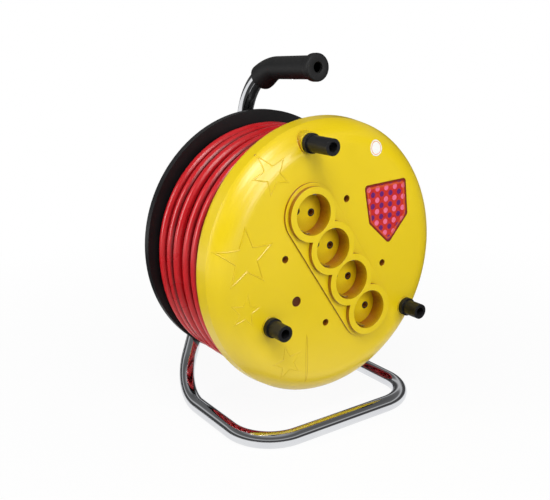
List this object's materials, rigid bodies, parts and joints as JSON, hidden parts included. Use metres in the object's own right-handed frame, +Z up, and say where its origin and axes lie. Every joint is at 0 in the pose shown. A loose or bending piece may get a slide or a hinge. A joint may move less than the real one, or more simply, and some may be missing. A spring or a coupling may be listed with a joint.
{
  "type": "extension cord reel",
  "caption": "Cable drum with earthed socket outlets in its front cover, turning on an axle in a bent-tube stand with a carrying grip.",
  "frame": {"origin": "on the ground under the middle of the reel", "axes": "+X to the right, +Y from the sockets to the stand's legs, +Z up; the drum turns about +Y"},
  "size_m": [0.3221, 0.2398, 0.3975],
  "materials": {
    "chrome_tube": "polished chrome plate on steel tube",
    "black_plastic": "semi-gloss moulded plastic",
    "grip_plastic": "fine-grained soft plastic",
    "zinc_steel": "bright zinc plate",
    "axle_steel": "turned steel",
    "nylon": "natural nylon",
    "yellow_plastic": "glossy moulded plastic",
    "socket_plastic": "glossy moulded plastic",
    "nickel": "nickel plate",
    "brass": "stamped brass",
    "dark_plastic": "matte moulding",
    "button_red": "dull red plastic",
    "lead_brown": "PVC insulation",
    "lead_blue": "PVC insulation",
    "lead_green_yellow": "PVC insulation",
    "decal_print": "printed film",
    "label_white": "printed film",
    "cable_red": "glossy PVC sheath",
    "plug_rubber": "moulded rubber"
  },
  "bodies": {
    "stand": {"stand_tube": "chrome_tube", "leg_end_plug": "black_plastic", "handle_grip": "grip_plastic", "grip_elbow": "grip_plastic", "grip_screw": "zinc_steel", "bracket_front": "black_plastic", "bracket_rear": "black_plastic", "bracket_bolts": "zinc_steel", "bracket_nuts": "zinc_steel", "axle": "axle_steel", "thrust_washer": "nylon", "retaining_washer": "zinc_steel", "axle_nut": "zinc_steel", "axle_cap": "black_plastic"},
    "drum": {"rear_flange": "black_plastic", "axle_bush": "nylon", "drum_hub": "black_plastic", "front_flange": "yellow_plastic", "flange_screws": "zinc_steel", "front_cover": "yellow_plastic", "cover_screws": "zinc_steel", "socket_1": "socket_plastic", "socket_2": "socket_plastic", "socket_3": "socket_plastic", "socket_4": "socket_plastic", "earth_clips": "nickel", "contact_sleeves": "brass", "live_busbar": "brass", "neutral_busbar": "brass", "earth_busbar": "brass", "thermal_cutout": "dark_plastic", "live_lead": "lead_brown", "live_link": "lead_brown", "neutral_lead": "lead_blue", "earth_lead": "lead_green_yellow", "cable_clamp": "dark_plastic", "clamp_screws": "zinc_steel", "cable_grommet": "black_plastic", "peg_right": "black_plastic", "peg_left": "black_plastic", "knob_pin": "zinc_steel", "peg_screws": "zinc_steel", "picture_decal": "decal_print", "round_label": "label_white", "cable_inner_end": "cable_red", "cable_core": "cable_red", "cable_winding": "cable_red", "cable_tail": "cable_red", "plug_body": "plug_rubber", "plug_pins": "nickel", "plug_earth_strips": "nickel"},
    "winding_knob": {"winding_knob": "black_plastic"},
    "reset_button": {"reset_button": "button_red"}
  },
  "joints": [
    {"name": "drum_spin", "type": "hinge", "parent": "stand", "child": "drum", "pos_m": [0, 0.00765, 0.185], "axis": [0, 1, 0], "continuous": true},
    {"name": "knob_spin", "type": "hinge", "parent": "drum", "child": "winding_knob", "pos_m": [-0.036, -0.09355, 0.3125], "axis": [0, 1, 0], "continuous": true},
    {"name": "reset_press", "type": "slide", "parent": "drum", "child": "reset_button", "axis": [0, 1, 0], "range_m": [0, 0.002], "stiffness_N_per_m": 600}
  ]
}
